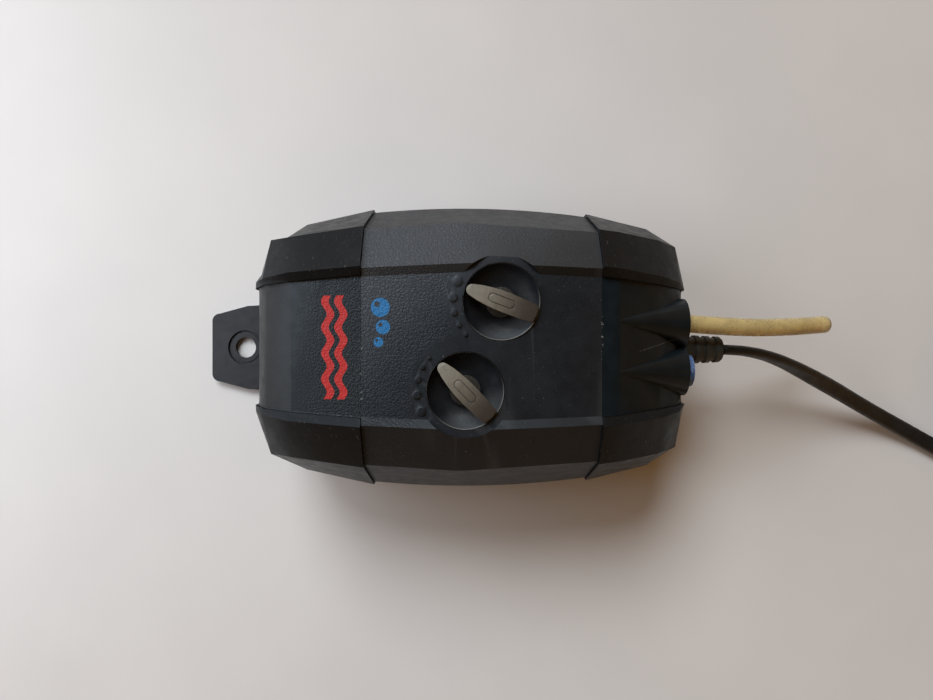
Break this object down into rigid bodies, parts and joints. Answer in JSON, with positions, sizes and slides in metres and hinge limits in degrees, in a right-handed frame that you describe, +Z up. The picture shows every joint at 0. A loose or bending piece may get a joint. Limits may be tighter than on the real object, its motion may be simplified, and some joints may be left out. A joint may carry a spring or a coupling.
{
  "type": "aquarium air pump",
  "caption": "Diaphragm air pump for an aquarium: low rounded casing with rubber corners, two flow dials, a hanging tab, airline outlets and a flat mains lead.",
  "frame": {"origin": "On the surface the pump stands on, under the middle of the box round the pump without its airline, mains lead and plug", "axes": "+X along the casing towards the outlets and the mains lead, the hanging tab at -X; +Y to the side of dial 1; +Z up"},
  "size_m": [0.392, 0.1353, 0.0696],
  "materials": {
    "casing_plastic": "fine leather-like moulded grain, anthracite",
    "end_plastic": "smooth moulded anthracite with a light satin sheen",
    "base_plastic": "smooth moulded dark navy grey",
    "bumper_rubber": "smooth black moulded rubber, slightly shiny, scuffed",
    "dish_plastic": "smooth dark glossy plastic",
    "knob_plastic": "warm grey, worn and speckled",
    "white_plastic": "natural white moulded plastic",
    "seal_rubber": "black moulded rubber",
    "flap_rubber": "thin red-brown silicone",
    "cap_plastic": "blue soft plastic, scuffed",
    "airline_silicone": "yellowed translucent silicone",
    "hose_silicone": "clear silicone",
    "cord_sheath": "black flexible PVC",
    "plug_plastic": "black moulded PVC",
    "tie_plastic": "black strap",
    "nickel_brass": "nickel-plated brass",
    "zinc_steel": "zinc-plated steel strip",
    "pin_steel": "bright steel",
    "core_steel": "laminated core steel, dull",
    "magnet_ferrite": "dark ferrite",
    "copper": "enamelled copper wire",
    "wire_pvc": "blue and brown PVC sleeves",
    "felt": "pale needle felt"
  },
  "bodies": {
    "casing": {"base_shell": "base_plastic", "centre_cover": "casing_plastic", "tab_end_cover": "casing_plastic", "outlet_end_cover": "end_plastic", "corner_bumper_1": "bumper_rubber", "corner_bumper_2": "bumper_rubber", "corner_bumper_3": "bumper_rubber", "corner_bumper_4": "bumper_rubber", "dial_cup_1": "dish_plastic", "dial_cup_2": "dish_plastic", "regulator_body_1": "white_plastic", "regulator_body_2": "white_plastic", "outlet_nozzle_1": "end_plastic", "outlet_nozzle_2": "end_plastic", "blanking_cap": "cap_plastic", "airline_tube": "airline_silicone", "strain_relief": "cord_sheath", "mains_cord": "cord_sheath", "cord_coil": "cord_sheath", "cord_tail": "cord_sheath", "coil_tie": "tie_plastic", "mains_plug": "plug_plastic", "plug_pins": "nickel_brass", "motor_frame": "zinc_steel", "rubber_mounts": "seal_rubber", "magnet_core": "core_steel", "coil_bobbin": "white_plastic", "coil_winding": "copper", "pivot_pins": "pin_steel", "diaphragm_1": "seal_rubber", "diaphragm_2": "seal_rubber", "pump_head_1": "white_plastic", "pump_head_2": "white_plastic", "head_cover_1": "white_plastic", "head_cover_2": "white_plastic", "valve_flaps": "flap_rubber", "feed_hoses": "hose_silicone", "outlet_hoses": "hose_silicone", "filter_pad": "felt", "filter_cover": "base_plastic", "terminal_block": "white_plastic", "terminal_screws": "nickel_brass", "lead_wires": "wire_pvc", "inner_lead": "cord_sheath", "case_screws": "pin_steel", "head_screws": "pin_steel"},
    "dial_1": {"control_knob_1": "knob_plastic", "valve_spindle_1": "white_plastic", "spindle_seal_1": "seal_rubber"},
    "dial_2": {"control_knob_2": "knob_plastic", "valve_spindle_2": "white_plastic", "spindle_seal_2": "seal_rubber"},
    "arm_1": {"swing_arm_1": "zinc_steel", "arm_magnet_1": "magnet_ferrite", "diaphragm_clamp_1": "pin_steel"},
    "arm_2": {"swing_arm_2": "zinc_steel", "arm_magnet_2": "magnet_ferrite", "diaphragm_clamp_2": "pin_steel"}
  },
  "joints": [
    {"name": "dial_1_turn", "type": "hinge", "parent": "casing", "child": "dial_1", "pos_m": [0.0229, 0.0137, 0.06], "axis": [0, 0, 1], "range_deg": [-4, 68]},
    {"name": "dial_2_turn", "type": "hinge", "parent": "casing", "child": "dial_2", "pos_m": [0.0119, -0.0134, 0.06], "axis": [0, 0, 1], "range_deg": [0, 71]},
    {"name": "arm_1_swing", "type": "hinge", "parent": "casing", "child": "arm_1", "pos_m": [0.032, 0.02205, 0.025], "axis": [0, 0, 1], "range_deg": [-0.9, 0.9], "stiffness_Nm_per_rad": 0.6, "deforming": ["diaphragm_1"]},
    {"name": "arm_2_swing", "type": "hinge", "parent": "casing", "child": "arm_2", "pos_m": [0.032, -0.02205, 0.025], "axis": [0, 0, 1], "range_deg": [-0.9, 0.9], "stiffness_Nm_per_rad": 0.6, "deforming": ["diaphragm_2"]}
  ]
}
